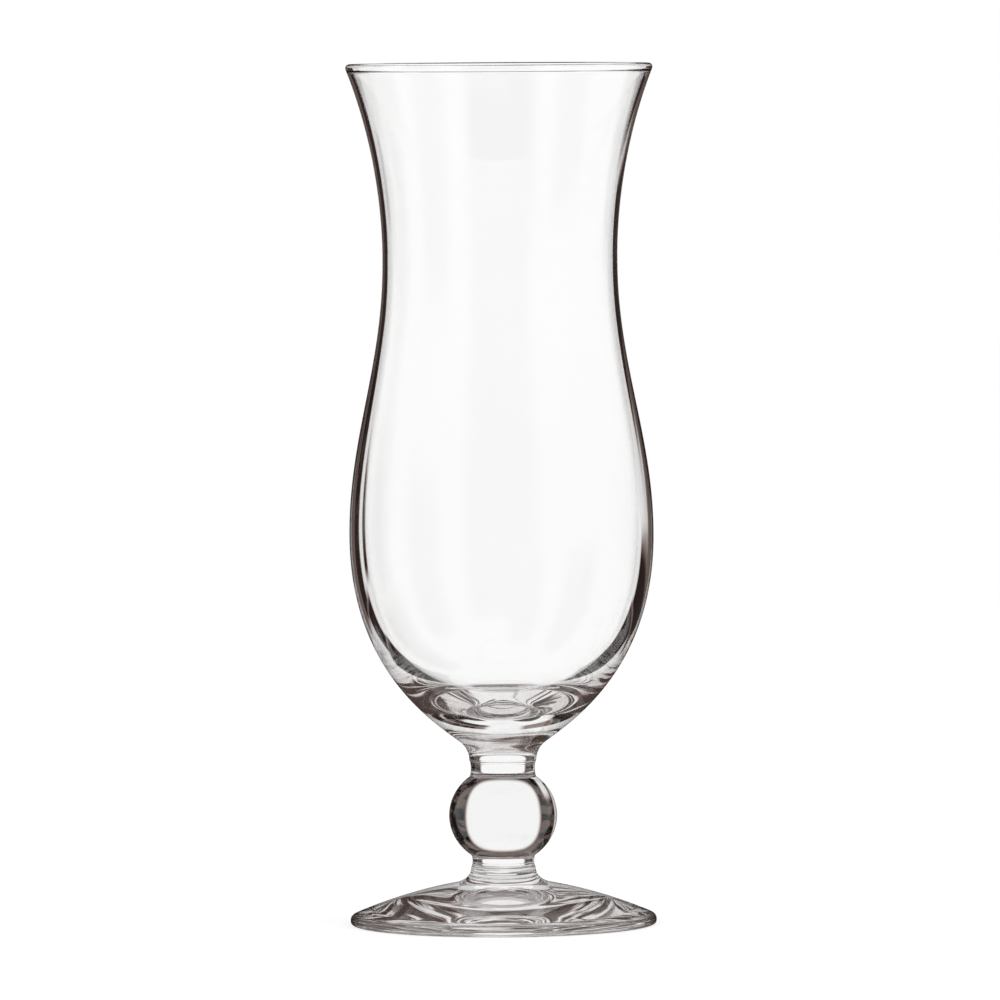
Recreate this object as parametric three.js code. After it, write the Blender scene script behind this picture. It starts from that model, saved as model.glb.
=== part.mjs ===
// Hurricane glass: a tall bowl with a flared mouth, a narrow waist and a full belly, on a short stem with a
// ball knop and a low conical foot. It is clear glass, made in gathers that are all turned about one axis
// and fused end to end on flat round joints.
// Millimetres, +Z up. The origin is the centre of the ring on which the foot stands.

import * as THREE from "three";

// Foot: a low cone with a rounded edge, hollowed underneath so that it stands on a flat ring
const FOOT_DIAMETER = 74.6;
const FOOT_HEIGHT = 13.9;
const FOOT_EDGE_HEIGHT = 2.5; // where the flank starts
const FOOT_EDGE_ROUND = 1.0; // radius of the edge's lower corner
const FOOT_EDGE_ANGLE = 23; // degrees, the flank's slope at the edge
const FOOT_FILLET_HEIGHT = 4.05; // of the curve that runs up into the stem
const FOOT_FILLET_REACH = 4.65;
const FOOT_RING_WIDTH = 5.0;
const FOOT_HOLLOW_DEPTH = 2.8;

// Stem: a short waisted length of rod above and below a ball that is a little flattened
const LOWER_STEM_DIAMETER = 15.7;
const LOWER_STEM_LENGTH = 3.0;
const UPPER_STEM_DIAMETER = 16.3;
const UPPER_STEM_LENGTH = 4.0;
const STEM_WAISTING = 0.35; // how far each length of stem draws in between its ends
const STEM_END_SHARE = 0.15; // share of each length in which an end draws in
const KNOP_DIAMETER = 26.3;
const KNOP_OVAL_HEIGHT = 24.0; // of the whole oval, whose ends the stem cuts flat

// Bowl: heights are above its seat on the stem
const BOWL_HEIGHT = 169.5;
const RIM_DIAMETER = 74.6;
const FLARE_ANGLE = 21.4; // degrees from upright, just below the rim
const LIP_THICKNESS = 1.9; // of the rounded lip, which beads inwards
const LIP_NECK = 1.25; // thickness of the wall just below the lip
const LIP_FILLET = 0.6; // radius of the hollow between the lip's bead and the wall
const WAIST_DIAMETER = 57.1;
const WAIST_HEIGHT = 121.5;
const WAIST_WALL = 1.2;
const BELLY_DIAMETER = 74.0;
const BELLY_HEIGHT = 55.0;
const BELLY_WALL = 3.6;
const INSIDE_BELLY_HEIGHT = 58.0; // the inside is widest a little above the outside's widest level
const FLOOR_THICKNESS = 13.6; // glass below the deepest point of the inside
const UNDERSIDE_ANGLE = 53; // degrees from upright, where the underside leaves the stem's fillet
const UNDERSIDE_FILLET = 5.7;

// Fullness of the bowl's curves: how much of the height between two of its levels runs along each end's slope
const FULLNESS = {
  flareAtRim: 0.5,
  flareAtWaist: 0.054,
  sideAtWaist: 0.384,
  sideAtBelly: 0.364,
  undersideAtBelly: 0.65,
  undersideAtStem: 0.097,
  insideAtBelly: 0.71,
  insideAtFloor: 0.54, // of the inside's radius at the belly
};

// Fineness of the turned surfaces
const TURN_STEPS = 48;
const LONG_CURVE_STEPS = 10;
const SHORT_CURVE_STEPS = 4;

const GLASS_COLOUR = 0xeef3f1;
const GLASS_ROUGHNESS = 0.03;
const GLASS_OPACITY = 0.35;

const point = (radius, height) => new THREE.Vector2(radius, height);
const radians = THREE.MathUtils.degToRad;

// A straight stretch of an outline
function straight(from, to) {
  return new THREE.LineCurve(from, to).getPoints(1);
}

// A curved stretch with one handle, for roundings, or two, for the long sweeps
function rounded(from, handle, to) {
  return new THREE.QuadraticBezierCurve(from, handle, to).getPoints(SHORT_CURVE_STEPS);
}

function sweep(from, fromHandle, toHandle, to) {
  return new THREE.CubicBezierCurve(from, fromHandle, toHandle, to).getPoints(LONG_CURVE_STEPS);
}

// An arc of an oval, from one angle to another in radians
function arc(centre, radiusAcross, radiusUp, fromAngle, toAngle, steps) {
  const clockwise = toAngle < fromAngle;
  const curve = new THREE.EllipseCurve(centre.x, centre.y, radiusAcross, radiusUp, fromAngle, toAngle, clockwise);
  return curve.getPoints(steps);
}

// Turns an outline about the Z axis. It runs up the outside, from the axis and back to it.
function turned(name, stretches) {
  const outline = stretches.flatMap((stretch, index) => (index === 0 ? stretch : stretch.slice(1)));
  const geometry = new THREE.LatheGeometry(outline, TURN_STEPS);
  geometry.rotateX(Math.PI / 2);
  const material = new THREE.MeshStandardMaterial({
    color: GLASS_COLOUR,
    roughness: GLASS_ROUGHNESS,
    metalness: 0,
    transparent: true,
    opacity: GLASS_OPACITY,
  });
  const mesh = new THREE.Mesh(geometry, material);
  mesh.name = name;
  return mesh;
}

function makeFoot() {
  const radius = FOOT_DIAMETER / 2;
  const slope = Math.tan(radians(FOOT_EDGE_ANGLE));
  const ringOuter = radius - FOOT_EDGE_ROUND;
  const ringInner = ringOuter - FOOT_RING_WIDTH;
  const hollowTop = point(0, FOOT_HOLLOW_DEPTH);
  const edgeMiddle = point(radius, FOOT_EDGE_ROUND);
  const flankStart = point(ringOuter, FOOT_EDGE_HEIGHT);
  const edgeCorner = point(radius, FOOT_EDGE_HEIGHT - slope * FOOT_EDGE_ROUND);

  const stemRadius = LOWER_STEM_DIAMETER / 2;
  const seat = point(stemRadius, FOOT_HEIGHT);
  const shoulder = point(stemRadius + FOOT_FILLET_REACH, FOOT_HEIGHT - FOOT_FILLET_HEIGHT);

  // The flank leaves the edge at its slope and is straight across the middle of its run
  const halfRun = (flankStart.x - shoulder.x) / 2;
  const flankHandle = point(flankStart.x - halfRun, flankStart.y + slope * halfRun);
  const shoulderSlope = (shoulder.y - flankHandle.y) / halfRun;
  const filletHandle = point(stemRadius, shoulder.y + shoulderSlope * FOOT_FILLET_REACH);

  return turned("foot", [
    rounded(hollowTop, point(ringInner / 2, FOOT_HOLLOW_DEPTH), point(ringInner, 0)),
    straight(point(ringInner, 0), point(ringOuter, 0)),
    rounded(point(ringOuter, 0), point(radius, 0), edgeMiddle),
    rounded(edgeMiddle, edgeCorner, flankStart),
    rounded(flankStart, flankHandle, shoulder),
    rounded(shoulder, filletHandle, seat),
    straight(seat, point(0, FOOT_HEIGHT)),
  ]);
}

// A length of stem, drawn in a little between its two flat ends
function makeStem(name, diameter, length) {
  const radius = diameter / 2;
  const lower = point(radius, 0);
  const upper = point(radius, length);
  // A sweep reaches three quarters of the way to its handles
  const drawnIn = radius - STEM_WAISTING / 0.75;
  const lowerHandle = point(drawnIn, STEM_END_SHARE * length);
  const upperHandle = point(drawnIn, (1 - STEM_END_SHARE) * length);
  return turned(name, [
    straight(point(0, 0), lower),
    sweep(lower, lowerHandle, upperHandle, upper),
    straight(upper, point(0, length)),
  ]);
}

const knopHalfHeight = KNOP_OVAL_HEIGHT / 2;
const knopLowerAngle = Math.acos(LOWER_STEM_DIAMETER / KNOP_DIAMETER);
const knopUpperAngle = Math.acos(UPPER_STEM_DIAMETER / KNOP_DIAMETER);
const knopCentreHeight = knopHalfHeight * Math.sin(knopLowerAngle);
const knopLength = knopCentreHeight + knopHalfHeight * Math.sin(knopUpperAngle);

// The ball, cut flat where the two lengths of stem meet it
function makeKnop() {
  const centre = point(0, knopCentreHeight);
  const side = arc(centre, KNOP_DIAMETER / 2, knopHalfHeight, -knopLowerAngle, knopUpperAngle, LONG_CURVE_STEPS);
  return turned("ball_knop", [
    straight(point(0, 0), point(LOWER_STEM_DIAMETER / 2, 0)),
    side,
    straight(point(UPPER_STEM_DIAMETER / 2, knopLength), point(0, knopLength)),
  ]);
}

// A sweep between two levels where the wall stands upright
function uprightSweep(from, fromFullness, to, toFullness) {
  const rise = to.y - from.y;
  return sweep(
    from,
    point(from.x, from.y + fromFullness * rise),
    point(to.x, to.y - toFullness * rise),
    to,
  );
}

function makeBowl() {
  const stemRadius = UPPER_STEM_DIAMETER / 2;
  const seat = point(stemRadius, 0);
  const belly = point(BELLY_DIAMETER / 2, BELLY_HEIGHT);
  const waist = point(WAIST_DIAMETER / 2, WAIST_HEIGHT);

  // Outside of the base: a fillet off the stem, then the underside out to the belly
  const underside = radians(UNDERSIDE_ANGLE);
  const filletCentre = point(stemRadius + UNDERSIDE_FILLET, 0);
  const filletEnd = point(
    filletCentre.x - UNDERSIDE_FILLET * Math.cos(underside),
    UNDERSIDE_FILLET * Math.sin(underside),
  );
  const fillet = arc(
    filletCentre,
    UNDERSIDE_FILLET,
    UNDERSIDE_FILLET,
    Math.PI,
    Math.PI - underside,
    SHORT_CURVE_STEPS,
  );
  const undersideRise = belly.y - filletEnd.y;
  const undersideLead = FULLNESS.undersideAtStem * undersideRise;
  const undersideSweep = sweep(
    filletEnd,
    point(filletEnd.x + Math.tan(underside) * undersideLead, filletEnd.y + undersideLead),
    point(belly.x, belly.y - FULLNESS.undersideAtBelly * undersideRise),
    belly,
  );

  // The lip is round, flush with the outside of the flared wall, and beads inwards over a small hollow
  const flare = radians(FLARE_ANGLE);
  const lipRadius = LIP_THICKNESS / 2;
  const lipCentre = point(RIM_DIAMETER / 2 - lipRadius, BOWL_HEIGHT - lipRadius);
  const reach = lipRadius + LIP_FILLET;
  const beadTurn = Math.acos((LIP_NECK + LIP_FILLET - lipRadius) / reach);
  const beadEnd = Math.PI - flare + beadTurn;
  const lip = arc(lipCentre, lipRadius, lipRadius, -flare, beadEnd, 2 * SHORT_CURVE_STEPS);
  const hollowCentre = point(
    lipCentre.x + reach * Math.cos(beadEnd),
    lipCentre.y + reach * Math.sin(beadEnd),
  );
  const hollow = arc(hollowCentre, LIP_FILLET, LIP_FILLET, beadTurn - flare, -flare, SHORT_CURVE_STEPS);
  const flareOuter = lip[0];
  const flareInner = hollow[hollow.length - 1];
  const flareHandle = (wallEnd, waistHeight) => {
    const lead = FULLNESS.flareAtRim * (wallEnd.y - waistHeight);
    return point(wallEnd.x - Math.tan(flare) * lead, wallEnd.y - lead);
  };
  const waistHandle = (radius, rimHeight) =>
    point(radius, WAIST_HEIGHT + FULLNESS.flareAtWaist * (rimHeight - WAIST_HEIGHT));

  // Inside, the wall thickens from the waist down to the belly and the floor
  const innerWaist = point(waist.x - WAIST_WALL, WAIST_HEIGHT);
  const innerBelly = point(belly.x - BELLY_WALL, INSIDE_BELLY_HEIGHT);
  const floor = point(0, FLOOR_THICKNESS);
  const insideDepth = INSIDE_BELLY_HEIGHT - FLOOR_THICKNESS;

  return turned("bowl", [
    straight(point(0, 0), seat),
    fillet,
    undersideSweep,
    uprightSweep(belly, FULLNESS.sideAtBelly, waist, FULLNESS.sideAtWaist),
    sweep(waist, waistHandle(waist.x, flareOuter.y), flareHandle(flareOuter, WAIST_HEIGHT), flareOuter),
    lip,
    hollow,
    sweep(flareInner, flareHandle(flareInner, WAIST_HEIGHT), waistHandle(innerWaist.x, flareInner.y), innerWaist),
    uprightSweep(innerWaist, FULLNESS.sideAtWaist, innerBelly, FULLNESS.sideAtBelly),
    sweep(
      innerBelly,
      point(innerBelly.x, INSIDE_BELLY_HEIGHT - FULLNESS.insideAtBelly * insideDepth),
      point(FULLNESS.insideAtFloor * innerBelly.x, FLOOR_THICKNESS),
      floor,
    ),
  ]);
}

// The gathers stand on one another, from the foot up
const glass = new THREE.Group();
const gathers = [
  [makeFoot(), FOOT_HEIGHT],
  [makeStem("lower_stem", LOWER_STEM_DIAMETER, LOWER_STEM_LENGTH), LOWER_STEM_LENGTH],
  [makeKnop(), knopLength],
  [makeStem("upper_stem", UPPER_STEM_DIAMETER, UPPER_STEM_LENGTH), UPPER_STEM_LENGTH],
  [makeBowl(), BOWL_HEIGHT],
];
let seatHeight = 0;
for (const [gather, height] of gathers) {
  gather.position.z = seatHeight;
  glass.add(gather);
  seatHeight += height;
}

export default glass;
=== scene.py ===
"""Hurricane glass: a clear stemmed drinking glass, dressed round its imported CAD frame.

The five gathers of the CAD model are turned again here as smooth closed bodies of glass: the foot, the two short
lengths of stem, the ball between them and the bowl. Where two of them are fused, both end in a flat face that
light passes unbent, so the glass reads as one body.
"""

import math

import bmesh
import bpy
from bpy.props import FloatProperty, FloatVectorProperty, IntProperty, PointerProperty
from mathutils import Matrix, Vector


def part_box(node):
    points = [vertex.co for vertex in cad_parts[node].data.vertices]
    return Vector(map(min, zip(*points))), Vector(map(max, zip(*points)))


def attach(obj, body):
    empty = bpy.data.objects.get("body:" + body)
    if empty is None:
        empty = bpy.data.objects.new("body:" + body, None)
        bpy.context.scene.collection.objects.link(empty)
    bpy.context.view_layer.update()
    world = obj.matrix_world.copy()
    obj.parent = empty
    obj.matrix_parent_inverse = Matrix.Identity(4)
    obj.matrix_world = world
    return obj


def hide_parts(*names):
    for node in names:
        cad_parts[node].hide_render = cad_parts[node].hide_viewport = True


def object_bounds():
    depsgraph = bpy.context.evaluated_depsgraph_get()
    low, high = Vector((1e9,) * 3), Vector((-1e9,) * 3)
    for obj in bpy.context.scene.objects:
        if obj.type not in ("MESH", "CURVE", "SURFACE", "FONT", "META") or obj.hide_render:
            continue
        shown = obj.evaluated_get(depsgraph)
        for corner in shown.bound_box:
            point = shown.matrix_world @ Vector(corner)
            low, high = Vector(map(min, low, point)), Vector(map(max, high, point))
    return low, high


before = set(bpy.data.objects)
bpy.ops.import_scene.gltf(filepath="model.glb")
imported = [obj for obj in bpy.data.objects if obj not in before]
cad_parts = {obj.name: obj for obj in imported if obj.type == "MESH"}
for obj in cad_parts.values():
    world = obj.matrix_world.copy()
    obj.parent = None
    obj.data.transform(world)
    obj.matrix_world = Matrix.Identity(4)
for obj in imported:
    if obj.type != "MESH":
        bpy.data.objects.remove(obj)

CAD_BOX = [list(corner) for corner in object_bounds()]

bl_info = {
    "name": "Hurricane Glass",
    "version": (1, 0, 0),
    "blender": (4, 5, 0),
    "location": "View3D > Sidebar > Glass",
    "description": "Makes a clear hurricane glass and the bright stage it stands on",
    "category": "Add Mesh",
}

MM = 0.001

# Material slots of each gather
SKIN = 0
JOINT = 1

# Fullness of the bowl's curves: how much of the height between two of its levels runs along each end's slope
FLARE_AT_RIM = 0.5
FLARE_AT_WAIST = 0.054
SIDE_AT_WAIST = 0.384
SIDE_AT_BELLY = 0.364
UNDERSIDE_AT_BELLY = 0.65
UNDERSIDE_AT_STEM = 0.097
INSIDE_AT_BELLY = 0.71
INSIDE_AT_FLOOR = 0.54  # of the inside's radius at the belly


def node_size(node):
    low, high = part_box(node)
    return Vector(high) - Vector(low)


def node_base(node):
    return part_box(node)[0][2]


FOOT_SIZE = node_size("foot")
LOWER_STEM_SIZE = node_size("lower_stem")
BALL_SIZE = node_size("ball_knop")
UPPER_STEM_SIZE = node_size("upper_stem")
BOWL_SIZE = node_size("bowl")


# Settings


def length(name, description, default):
    return FloatProperty(name=name, description=description, default=default, min=0, unit="LENGTH", precision=5)


def angle(name, description, degrees):
    return FloatProperty(name=name, description=description, default=math.radians(degrees), subtype="ANGLE")


def share(name, description, default):
    return FloatProperty(name=name, description=description, default=default, min=0, max=1, subtype="FACTOR")


def colour(name, description, default):
    return FloatVectorProperty(
        name=name, description=description, default=default, size=3, min=0, max=1, subtype="COLOR"
    )


class FootSizes(bpy.types.PropertyGroup):
    """Sizes of the foot"""

    diameter: length("Diameter", "Width across the edge", FOOT_SIZE.x)
    height: length("Height", "From the table to the stem", FOOT_SIZE.z)
    edge_height: length("Edge height", "Where the sloping flank starts", 2.5 * MM)
    edge_round: length("Edge rounding", "Radius of the edge's lower corner", 1.0 * MM)
    edge_angle: angle("Edge angle", "Slope of the flank at the edge", 23)
    fillet_height: length("Fillet height", "Height of the curve that runs up into the stem", 4.05 * MM)
    fillet_reach: length("Fillet reach", "Width of the curve that runs up into the stem", 4.65 * MM)
    ring_width: length("Ring width", "Width of the flat ring that the foot stands on", 5.0 * MM)
    hollow_depth: length("Hollow depth", "Depth of the hollow in the underside", 2.8 * MM)


class StemSizes(bpy.types.PropertyGroup):
    """Sizes of the stem and its ball"""

    lower_diameter: length("Lower diameter", "Width of the length of stem below the ball", LOWER_STEM_SIZE.x)
    lower_length: length("Lower length", "Height of the length of stem below the ball", LOWER_STEM_SIZE.z)
    upper_diameter: length("Upper diameter", "Width of the length of stem above the ball", UPPER_STEM_SIZE.x)
    upper_length: length("Upper length", "Height of the length of stem above the ball", UPPER_STEM_SIZE.z)
    waisting: length("Waisting", "How far each length of stem draws in between its ends", 0.35 * MM)
    end_share: share("End share", "Share of each length of stem in which an end draws in", 0.15)
    ball_diameter: length("Ball diameter", "Width of the ball", BALL_SIZE.x)
    ball_oval: length("Ball oval", "Height of the ball's whole oval, whose ends the stem cuts flat", 24.0 * MM)


class BowlSizes(bpy.types.PropertyGroup):
    """Sizes of the bowl; heights are above its seat on the stem"""

    height: length("Height", "From the stem to the rim", BOWL_SIZE.z)
    rim_diameter: length("Rim diameter", "Width across the mouth's edge", BOWL_SIZE.x)
    flare_angle: angle("Flare angle", "Lean of the wall just below the rim", 21.4)
    lip_thickness: length("Lip thickness", "Thickness of the rounded lip, which beads inwards", 1.9 * MM)
    lip_neck: length("Lip neck", "Thickness of the wall just below the lip", 1.25 * MM)
    lip_fillet: length("Lip fillet", "Radius of the hollow between the lip's bead and the wall", 0.6 * MM)
    waist_diameter: length("Waist diameter", "Width of the narrowest part", 57.1 * MM)
    waist_height: length("Waist height", "Level of the narrowest part", 121.5 * MM)
    waist_wall: length("Waist wall", "Thickness of the wall at the waist", 1.2 * MM)
    belly_diameter: length("Belly diameter", "Width of the widest part", 74.0 * MM)
    belly_height: length("Belly height", "Level of the widest part", 55.0 * MM)
    belly_wall: length("Belly wall", "Thickness of the wall at the belly", 3.6 * MM)
    inside_belly_height: length("Inside belly height", "Level at which the inside is widest", 58.0 * MM)
    floor_thickness: length("Floor thickness", "Glass below the deepest point of the inside", 13.6 * MM)
    underside_angle: angle("Underside angle", "Lean of the underside where it leaves the stem's fillet", 53)
    underside_fillet: length("Underside fillet", "Radius of the curve between the stem and the underside", 5.7 * MM)


class GlassLook(bpy.types.PropertyGroup):
    """Look of the clear glass"""

    clear_colour: colour("Clear colour", "Colour of the glass where it is clearest", (1.0, 1.0, 1.0))
    cast_colour: colour("Cast colour", "Faint cast of the glass where it is less clear", (0.985, 0.990, 0.987))
    depth_colour: colour("Depth colour", "Colour that a great thickness of the glass leaves", (0.62, 0.58, 0.57))
    depth_density: FloatProperty(
        name="Depth density", description="How fast the glass takes light, per metre", default=6.0, min=0
    )
    index: FloatProperty(name="Index", description="Index of refraction", default=1.52, min=1, max=2.5)
    wave_size: length("Wave size", "Distance between the faint waves in the surface", 14 * MM)
    wave_depth: length("Wave depth", "Height of the faint waves in the surface", 0.02 * MM)
    turn_steps: IntProperty(name="Turn steps", description="Sides of each turned body", default=192, min=24, max=512)


class StageLook(bpy.types.PropertyGroup):
    """Floor, light and camera"""

    floor_colour: colour("Floor colour", "Colour of the floor and of the white panels", (1.0, 1.0, 1.0))
    black_colour: colour("Black colour", "Colour of the dark cards round the glass", (0.004, 0.003, 0.003))
    brown_colour: colour("Brown colour", "Colour of the brown cards and the dim room", (0.232, 0.163, 0.142))
    shadow: share("Shadow", "Share of the floor's brightness that the glass can shade", 0.3)
    lamp_power: FloatProperty(
        name="Lamp power", description="Power of each soft lamp, in watts", default=4.0, min=0, unit="POWER"
    )
    lens: FloatProperty(name="Lens", description="Focal length on a 36 mm sensor", default=377.93, unit="CAMERA")
    camera_place: FloatVectorProperty(
        name="Camera place", description="Where the camera stands", default=(0, -2.55, 0.232), subtype="TRANSLATION"
    )
    camera_aim: FloatVectorProperty(
        name="Camera aim",
        description="Point that the camera looks at",
        default=(-0.00032, 0, 0.10336),
        subtype="TRANSLATION",
    )
    camera_roll: FloatProperty(
        name="Camera roll", description="Turn of the camera about its own axis", default=-0.0058, subtype="ANGLE"
    )


class HurricaneGlassSettings(bpy.types.PropertyGroup):
    """All the settings of the glass and its stage"""

    foot: PointerProperty(type=FootSizes, name="Foot", description="Sizes of the foot")
    stem: PointerProperty(type=StemSizes, name="Stem", description="Sizes of the stem and its ball")
    bowl: PointerProperty(type=BowlSizes, name="Bowl", description="Sizes of the bowl")
    glass: PointerProperty(type=GlassLook, name="Glass", description="Look of the clear glass")
    stage: PointerProperty(type=StageLook, name="Stage", description="Floor, light and camera")


# Outlines: lists of points, each a radius and a height


def straight(start, end):
    return [start, end]


def bend(start, handle, end, steps=14):
    """A rounding with one handle"""
    points = []
    for step in range(steps + 1):
        t = step / steps
        weights = ((1 - t) ** 2, 2 * (1 - t) * t, t**2)
        points.append(blend_points(weights, (start, handle, end)))
    return points


def sweep(start, start_handle, end_handle, end, steps=44):
    """A long curve with two handles"""
    points = []
    for step in range(steps + 1):
        t = step / steps
        weights = ((1 - t) ** 3, 3 * (1 - t) ** 2 * t, 3 * (1 - t) * t**2, t**3)
        points.append(blend_points(weights, (start, start_handle, end_handle, end)))
    return points


def blend_points(weights, points):
    radius = sum(w * p[0] for w, p in zip(weights, points))
    height = sum(w * p[1] for w, p in zip(weights, points))
    return (radius, height)


def oval_arc(centre, across, up, start_angle, end_angle, steps):
    points = []
    for step in range(steps + 1):
        a = start_angle + (end_angle - start_angle) * step / steps
        points.append((centre[0] + across * math.cos(a), centre[1] + up * math.sin(a)))
    return points


# Turned bodies


def turn(name, base, stretches, steps):
    """Turns an outline about the upright axis into a closed mesh.

    The outline runs up the outside, from the axis and back to it, in stretches that each name a material slot.
    """
    mesh = bmesh.new()
    rings = []
    slots = []
    for points, slot in stretches:
        for point in points:
            if rings and math.dist(point, rings[-1][0]) < 1e-9:
                continue
            if rings:
                slots.append(slot)
            rings.append((point, turned_ring(mesh, point, base, steps)))
    for (_, lower), (_, upper), slot in zip(rings, rings[1:], slots):
        for face in ring_faces(mesh, lower, upper, steps):
            face.material_index = slot
            face.smooth = slot == SKIN
    bmesh.ops.recalc_face_normals(mesh, faces=mesh.faces)
    if any(len(edge.link_faces) != 2 for edge in mesh.edges):
        raise RuntimeError(name + " is not closed")
    data = bpy.data.meshes.new(name)
    mesh.to_mesh(data)
    mesh.free()
    data.set_sharp_from_angle(angle=math.radians(32))
    body = bpy.data.objects.new(name, data)
    bpy.context.scene.collection.objects.link(body)
    return body


def turned_ring(mesh, point, base, steps):
    radius, height = point
    if radius < 1e-7:
        return [mesh.verts.new((0, 0, base + height))]
    ring = []
    for step in range(steps):
        a = 2 * math.pi * step / steps
        ring.append(mesh.verts.new((radius * math.cos(a), radius * math.sin(a), base + height)))
    return ring


def ring_faces(mesh, lower, upper, steps):
    faces = []
    for step in range(steps):
        after = (step + 1) % steps
        if len(lower) == 1:
            corners = (lower[0], upper[after], upper[step])
        elif len(upper) == 1:
            corners = (lower[step], lower[after], upper[0])
        else:
            corners = (lower[step], lower[after], upper[after], upper[step])
        faces.append(mesh.faces.new(corners))
    return faces


# Materials


def shader(tree, kind, place, **values):
    node = tree.nodes.new(kind)
    node.location = place
    for socket, value in values.items():
        node.inputs[socket.replace("_", " ")].default_value = value
    return node


def clear_glass(name, look, wave_stretch):
    """Clear glass with faint waves in its surface, a faint cast and a faint colour in its depth"""
    material = bpy.data.materials.new(name)
    material.use_nodes = True
    tree = material.node_tree
    tree.nodes.clear()
    link = tree.links.new

    place = shader(tree, "ShaderNodeTexCoord", (-1200, 0))
    stretch = shader(tree, "ShaderNodeMapping", (-1000, 0), Scale=wave_stretch)
    link(place.outputs["Object"], stretch.inputs["Vector"])

    waves = shader(tree, "ShaderNodeTexNoise", (-800, -300), Scale=1 / look.wave_size, Detail=2.0, Roughness=0.4)
    link(stretch.outputs["Vector"], waves.inputs["Vector"])
    bump = shader(tree, "ShaderNodeBump", (-500, -300), Strength=1.0, Distance=look.wave_depth)
    link(waves.outputs["Fac"], bump.inputs["Height"])

    film = shader(tree, "ShaderNodeTexNoise", (-800, 200), Scale=0.4 / look.wave_size, Detail=3.0)
    link(place.outputs["Object"], film.inputs["Vector"])
    cast = shader(tree, "ShaderNodeValToRGB", (-500, 200))
    cast.color_ramp.elements[0].position = 0.35
    cast.color_ramp.elements[0].color = (*look.clear_colour, 1)
    cast.color_ramp.elements[1].position = 0.75
    cast.color_ramp.elements[1].color = (*look.cast_colour, 1)
    link(film.outputs["Fac"], cast.inputs["Fac"])
    haze = shader(tree, "ShaderNodeMapRange", (-500, 0), From_Min=0.45, From_Max=0.8, To_Min=0.0, To_Max=0.012)
    link(film.outputs["Fac"], haze.inputs["Value"])

    body = shader(tree, "ShaderNodeBsdfPrincipled", (-200, 0), IOR=look.index, Transmission_Weight=1.0)
    link(cast.outputs["Color"], body.inputs["Base Color"])
    link(haze.outputs["Result"], body.inputs["Roughness"])
    link(bump.outputs["Normal"], body.inputs["Normal"])
    depth = shader(
        tree, "ShaderNodeVolumeAbsorption", (-200, -400), Color=(*look.depth_colour, 1), Density=look.depth_density
    )
    output = shader(tree, "ShaderNodeOutputMaterial", (200, 0))
    link(body.outputs["BSDF"], output.inputs["Surface"])
    link(depth.outputs["Volume"], output.inputs["Volume"])
    return material


def fused_joint(look):
    """The flat face where two gathers are fused, which light passes unbent"""
    material = bpy.data.materials.get("fused joint")
    if material:
        return material
    material = bpy.data.materials.new("fused joint")
    material.use_nodes = True
    tree = material.node_tree
    tree.nodes.clear()
    clear = shader(tree, "ShaderNodeBsdfTransparent", (0, 0), Color=(1, 1, 1, 1))
    output = shader(tree, "ShaderNodeOutputMaterial", (200, 0))
    tree.links.new(clear.outputs["BSDF"], output.inputs["Surface"])
    depth = shader(
        tree, "ShaderNodeVolumeAbsorption", (0, -200), Color=(*look.depth_colour, 1), Density=look.depth_density
    )
    tree.links.new(depth.outputs["Volume"], output.inputs["Volume"])
    return material


def finish_gather(body, node, material, look):
    body.data.materials.append(material)
    body.data.materials.append(fused_joint(look))
    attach(body, "root")
    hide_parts(node)


def stem_glass(look):
    """Pressed glass of the foot, the stem and the ball"""
    return bpy.data.materials.get("stem glass") or clear_glass("stem glass", look, (1, 1, 1.6))


def bowl_glass(look):
    """Blown glass of the bowl, whose waves run up its wall"""
    return bpy.data.materials.get("bowl glass") or clear_glass("bowl glass", look, (1, 1, 0.35))


# Operators


class MakeFoot(bpy.types.Operator):
    """Turn the low conical foot, hollowed underneath"""

    bl_idname = "hurricane_glass.make_foot"
    bl_label = "Make Foot"

    def execute(self, context):
        settings = context.scene.hurricane_glass
        foot = settings.foot
        radius = foot.diameter / 2
        slope = math.tan(foot.edge_angle)
        ring_outer = radius - foot.edge_round
        ring_inner = ring_outer - foot.ring_width
        flank_start = (ring_outer, foot.edge_height)
        edge_corner = (radius, foot.edge_height - slope * foot.edge_round)
        stem_radius = settings.stem.lower_diameter / 2
        shoulder = (stem_radius + foot.fillet_reach, foot.height - foot.fillet_height)
        half_run = (flank_start[0] - shoulder[0]) / 2
        flank_handle = (flank_start[0] - half_run, flank_start[1] + slope * half_run)
        shoulder_slope = (shoulder[1] - flank_handle[1]) / half_run
        fillet_handle = (stem_radius, shoulder[1] + shoulder_slope * foot.fillet_reach)
        seat = (stem_radius, foot.height)
        hollow_top = (0, foot.hollow_depth)
        hollow_handle = (ring_inner / 2, foot.hollow_depth)
        stretches = [
            (bend(hollow_top, hollow_handle, (ring_inner, 0), 28), SKIN),
            (straight((ring_inner, 0), (ring_outer, 0)), SKIN),
            (bend((ring_outer, 0), (radius, 0), (radius, foot.edge_round)), SKIN),
            (bend((radius, foot.edge_round), edge_corner, flank_start), SKIN),
            (bend(flank_start, flank_handle, shoulder, 36), SKIN),
            (bend(shoulder, fillet_handle, seat, 20), SKIN),
            (straight(seat, (0, foot.height)), JOINT),
        ]
        body = turn("glass_foot", node_base("foot"), stretches, settings.glass.turn_steps)
        finish_gather(body, "foot", stem_glass(settings.glass), settings.glass)
        return {"FINISHED"}


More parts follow.
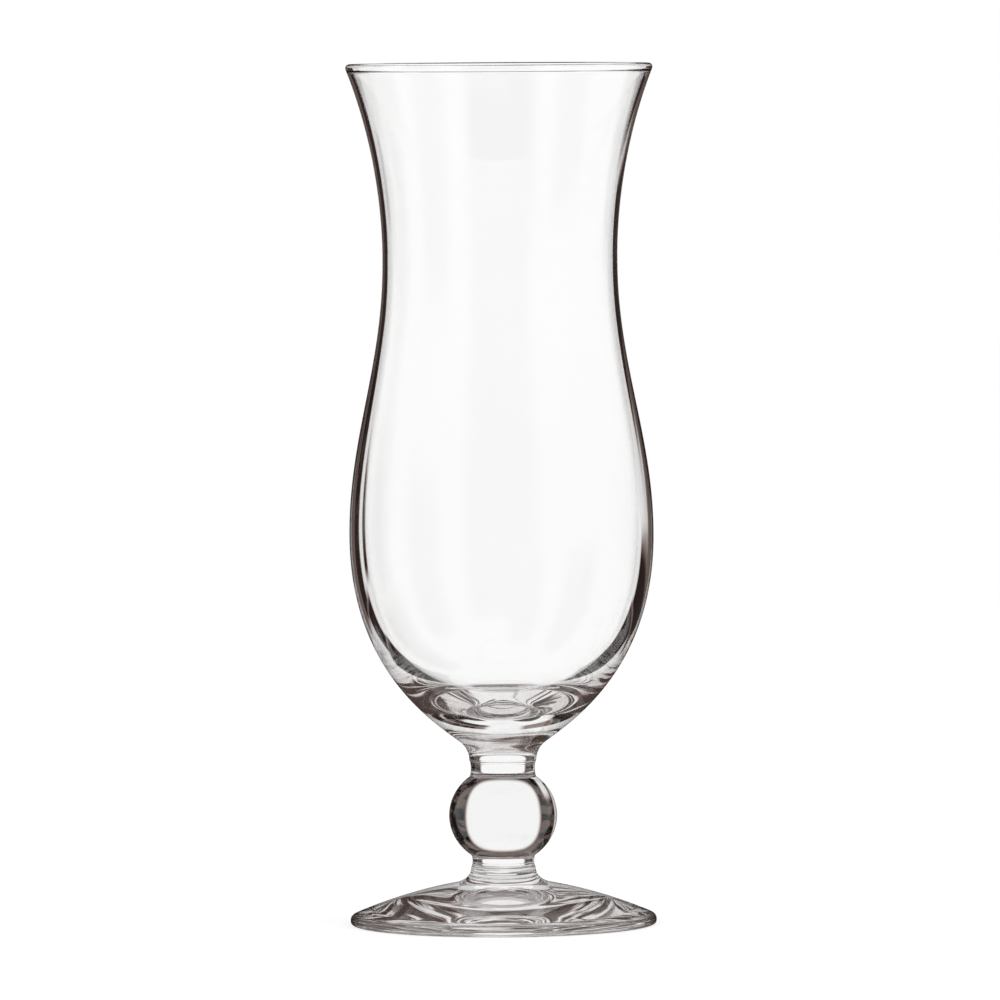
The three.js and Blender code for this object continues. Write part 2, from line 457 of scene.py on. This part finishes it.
class MakeStem(bpy.types.Operator):
    """Turn the two short lengths of stem, above and below the ball"""

    bl_idname = "hurricane_glass.make_stem"
    bl_label = "Make Stem"

    def execute(self, context):
        settings = context.scene.hurricane_glass
        stem = settings.stem
        lengths = (
            ("lower_stem", stem.lower_diameter, stem.lower_length),
            ("upper_stem", stem.upper_diameter, stem.upper_length),
        )
        for node, diameter, rise in lengths:
            radius = diameter / 2
            # A sweep reaches three quarters of the way to its handles
            drawn_in = radius - stem.waisting / 0.75
            lower_handle = (drawn_in, stem.end_share * rise)
            upper_handle = (drawn_in, (1 - stem.end_share) * rise)
            stretches = [
                (straight((0, 0), (radius, 0)), JOINT),
                (sweep((radius, 0), lower_handle, upper_handle, (radius, rise), 28), SKIN),
                (straight((radius, rise), (0, rise)), JOINT),
            ]
            body = turn("glass_" + node, node_base(node), stretches, settings.glass.turn_steps)
            finish_gather(body, node, stem_glass(settings.glass), settings.glass)
        return {"FINISHED"}


class MakeBall(bpy.types.Operator):
    """Turn the ball of the stem, cut flat where the stem meets it"""

    bl_idname = "hurricane_glass.make_ball"
    bl_label = "Make Ball"

    def execute(self, context):
        settings = context.scene.hurricane_glass
        stem = settings.stem
        half_oval = stem.ball_oval / 2
        lower = math.acos(stem.lower_diameter / stem.ball_diameter)
        upper = math.acos(stem.upper_diameter / stem.ball_diameter)
        centre = (0, half_oval * math.sin(lower))
        top = centre[1] + half_oval * math.sin(upper)
        side = oval_arc(centre, stem.ball_diameter / 2, half_oval, -lower, upper, 72)
        stretches = [
            (straight((0, 0), (stem.lower_diameter / 2, 0)), JOINT),
            (side, SKIN),
            (straight((stem.upper_diameter / 2, top), (0, top)), JOINT),
        ]
        body = turn("glass_ball_knop", node_base("ball_knop"), stretches, settings.glass.turn_steps)
        finish_gather(body, "ball_knop", stem_glass(settings.glass), settings.glass)
        return {"FINISHED"}


class MakeBowl(bpy.types.Operator):
    """Turn the tall bowl, with its thick base, thin waist and flared lip"""

    bl_idname = "hurricane_glass.make_bowl"
    bl_label = "Make Bowl"

    def execute(self, context):
        settings = context.scene.hurricane_glass
        bowl = settings.bowl
        seat = (settings.stem.upper_diameter / 2, 0)
        belly = (bowl.belly_diameter / 2, bowl.belly_height)
        waist = (bowl.waist_diameter / 2, bowl.waist_height)

        # The underside leaves the stem on a fillet and runs out to the belly
        turn_angle = bowl.underside_angle
        fillet_centre = (seat[0] + bowl.underside_fillet, 0)
        fillet = oval_arc(
            fillet_centre, bowl.underside_fillet, bowl.underside_fillet, math.pi, math.pi - turn_angle, 20
        )
        rise = belly[1] - fillet[-1][1]
        lead = UNDERSIDE_AT_STEM * rise
        lead_handle = (fillet[-1][0] + math.tan(turn_angle) * lead, fillet[-1][1] + lead)
        belly_handle = (belly[0], belly[1] - UNDERSIDE_AT_BELLY * rise)
        underside = sweep(fillet[-1], lead_handle, belly_handle, belly, 56)

        # The lip is round, flush with the outside of the flared wall, and beads inwards over a small fillet
        flare = bowl.flare_angle
        lip_radius = bowl.lip_thickness / 2
        lip_centre = (bowl.rim_diameter / 2 - lip_radius, bowl.height - lip_radius)
        reach = lip_radius + bowl.lip_fillet
        bead_turn = math.acos((bowl.lip_neck + bowl.lip_fillet - lip_radius) / reach)
        bead_end = math.pi - flare + bead_turn
        lip = oval_arc(lip_centre, lip_radius, lip_radius, -flare, bead_end, 28)
        hollow_centre = (lip_centre[0] + reach * math.cos(bead_end), lip_centre[1] + reach * math.sin(bead_end))
        hollow = oval_arc(hollow_centre, bowl.lip_fillet, bowl.lip_fillet, bead_turn - flare, -flare, 10)

        inner_waist = (waist[0] - bowl.waist_wall, bowl.waist_height)
        inner_belly = (belly[0] - bowl.belly_wall, bowl.inside_belly_height)
        depth = inner_belly[1] - bowl.floor_thickness
        floor = (0, bowl.floor_thickness)
        floor_handle = (INSIDE_AT_FLOOR * inner_belly[0], bowl.floor_thickness)
        inside_handle = (inner_belly[0], inner_belly[1] - INSIDE_AT_BELLY * depth)
        stretches = [
            (straight((0, 0), seat), JOINT),
            (fillet, SKIN),
            (underside, SKIN),
            (upright_sweep(belly, SIDE_AT_BELLY, waist, SIDE_AT_WAIST), SKIN),
            (flare_sweep(waist, lip[0], flare), SKIN),
            (lip, SKIN),
            (hollow, SKIN),
            (flare_sweep(inner_waist, hollow[-1], flare)[::-1], SKIN),
            (upright_sweep(inner_waist, SIDE_AT_WAIST, inner_belly, SIDE_AT_BELLY), SKIN),
            (sweep(inner_belly, inside_handle, floor_handle, floor, 56), SKIN),
        ]
        body = turn("glass_bowl", node_base("bowl"), stretches, settings.glass.turn_steps)
        finish_gather(body, "bowl", bowl_glass(settings.glass), settings.glass)
        return {"FINISHED"}


def upright_sweep(start, start_fullness, end, end_fullness):
    """A curve between two levels at which the wall stands upright"""
    rise = end[1] - start[1]
    start_handle = (start[0], start[1] + start_fullness * rise)
    end_handle = (end[0], end[1] - end_fullness * rise)
    return sweep(start, start_handle, end_handle, end)


def flare_sweep(waist, rim, flare):
    """The wall from the waist out to the lip"""
    rise = rim[1] - waist[1]
    lead = FLARE_AT_RIM * rise
    rim_handle = (rim[0] - math.tan(flare) * lead, rim[1] - lead)
    return sweep(waist, (waist[0], waist[1] + FLARE_AT_WAIST * rise), rim_handle, rim)


# Stage

# The glass is shown by the light behind it. White panels stand behind it on the sides that it is looked at from,
# with the dark of the room between them. Limits are degrees of azimuth, from +Y towards +X, and of elevation.

# White panels that show through the hollow bowl
BOWL_PANELS = (
    (-36, 36, -44, 30),
    (-126, -54, -44, 30),
    (99, 171, -56, 20),
    (-81, -9, -66, -10),
)
# White panels that show through the solid ball and stem
BALL_PANELS = (
    (-33, 33, -37, 30),
    (-113, -67, -37, 30),
    (102, 168, -49, 18),
    (-62, -44, -59, -20),
)
# Dark cards that edge the walls, with light turned back once inside them
FRONT_CARDS = (
    (-31, -17, -13, 3),
    (-36, -22, -24, -12),
    (-38, -12, -68, -23),
    (-44, -38, -11, -3),
    (9, 29, -5, 3),
    (5, 36, -15, -7),
    (15, 38, -46, -14),
)
REAR_CARDS = (
    (-82, -53, -68, -18),
    (-77, -58, -20, 3),
    (-128, -99, -46, 3),
    (97, 126, -58, -10),
    (144, 173, -58, -10),
    (150, 210, -40, 45),
)
# Brown cards beside the dark ones
BROWN_CARDS = (
    (-18, -7, -12, 3),
    (6, 21, -10, 3),
)
# Dim parts of the room, mirrored in the edges of the glass
ROOM = (
    (-50, 50, -14, 45),
    (-58, 58, -60, -2),
)
PANEL_SOFTNESS = 6
CARD_SOFTNESS = 3
REAR_CARD_SOFTNESS = 16
ROOM_SOFTNESS = 10
# How bright the room and the brown cards are, beside the white panels
ROOM_LEVEL = 0.03
BROWN_LEVEL = 0.2
# Dappled light all round, which thick glass breaks up into fine arcs
DAPPLE_SCALE = 3.0
DAPPLE_STRETCH = (0.6, 0.6, 3.0)
DAPPLE_EDGES = (0.45, 0.54)
DAPPLE_LEVEL = 0.07  # of its dark parts
RING_LEVEL = 0.1  # of its bright parts, where they show in the ring round the ball
# Dark cards across it, seen in the edges of the walls and in the creases of the stem
DAPPLE_CARDS = (
    (-100, 100, -15, 5),
    (150, 210, -45, 10),
)


class LightPlan:
    """Builds the world's nodes, in which the panels and cards are patches of the sky"""

    def __init__(self, tree):
        self.tree = tree
        tree.nodes.clear()
        self.place = tree.nodes.new("ShaderNodeTexCoord")
        axes = tree.nodes.new("ShaderNodeSeparateXYZ")
        tree.links.new(self.place.outputs["Generated"], axes.inputs["Vector"])
        turn_from_y = self.calc("ARCTAN2", axes.outputs["X"], axes.outputs["Y"])
        self.azimuth = self.calc("MULTIPLY", turn_from_y, math.degrees(1))
        self.elevation = self.calc("MULTIPLY", self.calc("ARCSINE", axes.outputs["Z"]), math.degrees(1))

    def calc(self, operation, *values):
        node = self.tree.nodes.new("ShaderNodeMath")
        node.operation = operation
        for socket, value in zip(node.inputs, values):
            if isinstance(value, (int, float)):
                socket.default_value = value
            else:
                self.tree.links.new(value, socket)
        return node.outputs["Value"]

    def invert(self, value):
        return self.calc("SUBTRACT", 1, value)

    def both(self, first, second):
        return self.calc("MULTIPLY", first, second)

    def either(self, first, second):
        return self.calc("MAXIMUM", first, second)

    def choose(self, switch, off, on):
        """off where the switch is 0 and on where it is 1"""
        return self.calc("MULTIPLY_ADD", self.calc("SUBTRACT", on, off), switch, off)

    def step_up(self, value, start, end):
        """0 below the start and 1 above the end, with a soft step between"""
        node = self.tree.nodes.new("ShaderNodeMapRange")
        node.interpolation_type = "SMOOTHSTEP"
        self.tree.links.new(value, node.inputs["Value"])
        node.inputs["From Min"].default_value = start
        node.inputs["From Max"].default_value = end
        return node.outputs["Result"]

    def within(self, offset, half, softness):
        """1 within half of the middle, fading to 0 across the softness"""
        beyond = self.step_up(self.calc("ABSOLUTE", offset), half - softness / 2, half + softness / 2)
        return self.invert(beyond)

    def offsets(self, left, right, bottom, top):
        """How far a direction is from the middle of a patch, across and upward"""
        across = self.calc("SUBTRACT", self.azimuth, (left + right) / 2)
        upward = self.calc("SUBTRACT", self.elevation, (bottom + top) / 2)
        return self.calc("WRAP", across, 180, -180), upward

    def patches(self, limits, softness):
        total = 0
        for left, right, bottom, top in limits:
            across, upward = self.offsets(left, right, bottom, top)
            wide = self.within(across, (right - left) / 2, softness)
            tall = self.within(upward, (top - bottom) / 2, softness)
            total = self.either(total, self.both(wide, tall))
        return total

    def rounded_patches(self, limits, softness):
        """Patches with well rounded corners"""
        total = 0
        for left, right, bottom, top in limits:
            across, upward = self.offsets(left, right, bottom, top)
            half_width = (right - left) / 2
            wide = self.calc("POWER", self.calc("DIVIDE", self.calc("ABSOLUTE", across), half_width), 4)
            tall = self.calc("POWER", self.calc("DIVIDE", self.calc("ABSOLUTE", upward), (top - bottom) / 2), 4)
            spread = self.calc("POWER", self.calc("ADD", wide, tall), 0.25)
            total = self.either(total, self.within(spread, 1, softness / half_width))
        return total

    def dapples(self):
        """Irregular patches, from 0 in the dark ones to 1 in the bright ones"""
        stretch = shader(self.tree, "ShaderNodeMapping", (0, 0), Scale=DAPPLE_STRETCH)
        self.tree.links.new(self.place.outputs["Generated"], stretch.inputs["Vector"])
        noise = shader(self.tree, "ShaderNodeTexNoise", (0, 0), Scale=DAPPLE_SCALE, Detail=2.0)
        self.tree.links.new(stretch.outputs["Vector"], noise.inputs["Vector"])
        return self.step_up(noise.outputs["Fac"], *DAPPLE_EDGES)


def light_world(stage):
    """A white world to the camera and the floor, and panels and cards to the glass"""
    world = bpy.data.worlds.new("bright field")
    world.use_nodes = True
    bpy.context.scene.world = world
    tree = world.node_tree
    plan = LightPlan(tree)
    ray = tree.nodes.new("ShaderNodeLightPath")
    turns = ray.outputs["Glossy Depth"]
    crossings = ray.outputs["Transmission Depth"]

    crossed_bowl = plan.calc("GREATER_THAN", crossings, 3.5)
    through_bowl = plan.patches(BOWL_PANELS, PANEL_SOFTNESS)
    dapples = plan.dapples()
    through_ball = plan.rounded_patches(BALL_PANELS, PANEL_SOFTNESS)
    through_ball = plan.either(through_ball, plan.both(dapples, RING_LEVEL))
    straight_light = plan.choose(crossed_bowl, through_ball, through_bowl)

    front_cards = plan.patches(FRONT_CARDS, CARD_SOFTNESS)
    rear_cards = plan.patches(REAR_CARDS, REAR_CARD_SOFTNESS)
    brown_cards = plan.patches(BROWN_CARDS, CARD_SOFTNESS)
    in_wall = plan.invert(plan.either(front_cards, rear_cards))
    in_wall = plan.calc("MINIMUM", in_wall, plan.choose(brown_cards, 1, BROWN_LEVEL))
    in_wall = plan.either(in_wall, crossed_bowl)
    mirrored = plan.choose(plan.patches(ROOM, ROOM_SOFTNESS), 1, ROOM_LEVEL)
    turned_once = plan.choose(plan.calc("GREATER_THAN", crossings, 0.5), mirrored, in_wall)
    past_cards = plan.both(dapples, plan.invert(plan.patches(DAPPLE_CARDS, CARD_SOFTNESS)))
    turned_often = plan.choose(past_cards, DAPPLE_LEVEL, 1)
    lit = plan.choose(plan.calc("GREATER_THAN", turns, 0.5), straight_light, turned_once)
    lit = plan.choose(plan.calc("GREATER_THAN", turns, 1.5), lit, turned_often)
    plain = plan.either(ray.outputs["Is Camera Ray"], ray.outputs["Is Diffuse Ray"])
    lit = plan.either(lit, plain)

    tint = tree.nodes.new("ShaderNodeValToRGB")
    tint.color_ramp.elements[0].color = (*stage.black_colour, 1)
    tint.color_ramp.elements[1].color = (*stage.floor_colour, 1)
    brown = tint.color_ramp.elements.new(BROWN_LEVEL)
    brown.color = (*stage.brown_colour, 1)
    tree.links.new(lit, tint.inputs["Fac"])
    background = tree.nodes.new("ShaderNodeBackground")
    output = tree.nodes.new("ShaderNodeOutputWorld")
    tree.links.new(tint.outputs["Color"], background.inputs["Color"])
    tree.links.new(background.outputs["Background"], output.inputs["Surface"])


def lay_floor(stage):
    """A wide white floor that keeps the glass's shadow"""
    mesh = bmesh.new()
    bmesh.ops.create_grid(mesh, x_segments=8, y_segments=8, size=4)
    data = bpy.data.meshes.new("floor")
    mesh.to_mesh(data)
    mesh.free()
    floor = bpy.data.objects.new("floor", data)
    floor.location.z = CAD_BOX[0][2] - 0.05 * MM
    bpy.context.scene.collection.objects.link(floor)
    floor.visible_glossy = False
    floor.visible_transmission = False
    material = bpy.data.materials.new("white floor")
    material.use_nodes = True
    tree = material.node_tree
    tree.nodes.clear()
    paper = shader(tree, "ShaderNodeBsdfDiffuse", (0, 0), Color=(*stage.floor_colour, 1))
    bright = shader(tree, "ShaderNodeEmission", (0, -200), Color=(*stage.floor_colour, 1))
    mix = shader(tree, "ShaderNodeMixShader", (250, 0), Fac=stage.shadow)
    output = shader(tree, "ShaderNodeOutputMaterial", (500, 0))
    tree.links.new(bright.outputs["Emission"], mix.inputs[1])
    tree.links.new(paper.outputs["BSDF"], mix.inputs[2])
    tree.links.new(mix.outputs["Shader"], output.inputs["Surface"])
    data.materials.append(material)


def hang_lamp(name, place, aim, width, power):
    data = bpy.data.lights.new(name, "AREA")
    data.shape = "SQUARE"
    data.size = width
    data.energy = power
    lamp = bpy.data.objects.new(name, data)
    lamp.location = place
    lamp.rotation_euler = (Vector(aim) - Vector(place)).to_track_quat("-Z", "Y").to_euler()
    bpy.context.scene.collection.objects.link(lamp)
    # The lamps light the floor, and the glass shows only the panels and cards
    lamp.visible_glossy = False
    lamp.visible_transmission = False


def place_camera(stage):
    data = bpy.data.cameras.new("camera")
    data.sensor_width = 36
    data.lens = stage.lens
    data.clip_end = 100
    camera = bpy.data.objects.new("camera", data)
    bpy.context.scene.collection.objects.link(camera)
    place = Vector(stage.camera_place)
    look = (Vector(stage.camera_aim) - place).to_track_quat("-Z", "Y").to_matrix()
    roll = Matrix.Rotation(stage.camera_roll, 3, "Z")
    camera.matrix_world = Matrix.Translation(place) @ (look @ roll).to_4x4()
    bpy.context.scene.camera = camera


class SetStage(bpy.types.Operator):
    """Lay the white floor, hang the lamps, light the world and place the camera"""

    bl_idname = "hurricane_glass.set_stage"
    bl_label = "Set Stage"

    def execute(self, context):
        scene = context.scene
        stage = scene.hurricane_glass.stage
        lay_floor(stage)
        light_world(stage)
        middle = (0, 0, CAD_BOX[1][2] / 2)
        hang_lamp("left lamp", (-0.9, -0.7, 1.1), middle, 0.8, stage.lamp_power)
        hang_lamp("right lamp", (1.0, -0.3, 0.9), middle, 0.8, stage.lamp_power)
        place_camera(stage)
        scene.view_settings.view_transform = "Standard"
        scene.cycles.max_bounces = 32
        scene.cycles.transmission_bounces = 32
        scene.cycles.glossy_bounces = 32
        scene.cycles.transparent_max_bounces = 32
        return {"FINISHED"}


class GlassPanel(bpy.types.Panel):
    """Lists the settings and operators of the glass"""

    bl_idname = "VIEW3D_PT_hurricane_glass"
    bl_label = "Hurricane Glass"
    bl_space_type = "VIEW_3D"
    bl_region_type = "UI"
    bl_category = "Glass"

    def draw(self, context):
        settings = context.scene.hurricane_glass
        sections = (
            ("Foot", settings.foot, MakeFoot),
            ("Stem", settings.stem, MakeStem),
            ("Ball", None, MakeBall),
            ("Bowl", settings.bowl, MakeBowl),
            ("Glass", settings.glass, None),
            ("Stage", settings.stage, SetStage),
        )
        for title, group, operator in sections:
            box = self.layout.box()
            box.label(text=title)
            if group:
                for name in group.__annotations__:
                    box.prop(group, name)
            if operator:
                box.operator(operator.bl_idname)


CLASSES = (
    FootSizes,
    StemSizes,
    BowlSizes,
    GlassLook,
    StageLook,
    HurricaneGlassSettings,
    MakeFoot,
    MakeStem,
    MakeBall,
    MakeBowl,
    SetStage,
    GlassPanel,
)


def register():
    for item in CLASSES:
        bpy.utils.register_class(item)
    bpy.types.Scene.hurricane_glass = PointerProperty(type=HurricaneGlassSettings)


def unregister():
    del bpy.types.Scene.hurricane_glass
    for item in reversed(CLASSES):
        bpy.utils.unregister_class(item)


def main():
    register()
    bpy.ops.hurricane_glass.make_foot()
    bpy.ops.hurricane_glass.make_stem()
    bpy.ops.hurricane_glass.make_ball()
    bpy.ops.hurricane_glass.make_bowl()
    bpy.ops.hurricane_glass.set_stage()


if __name__ == "__main__":
    main()
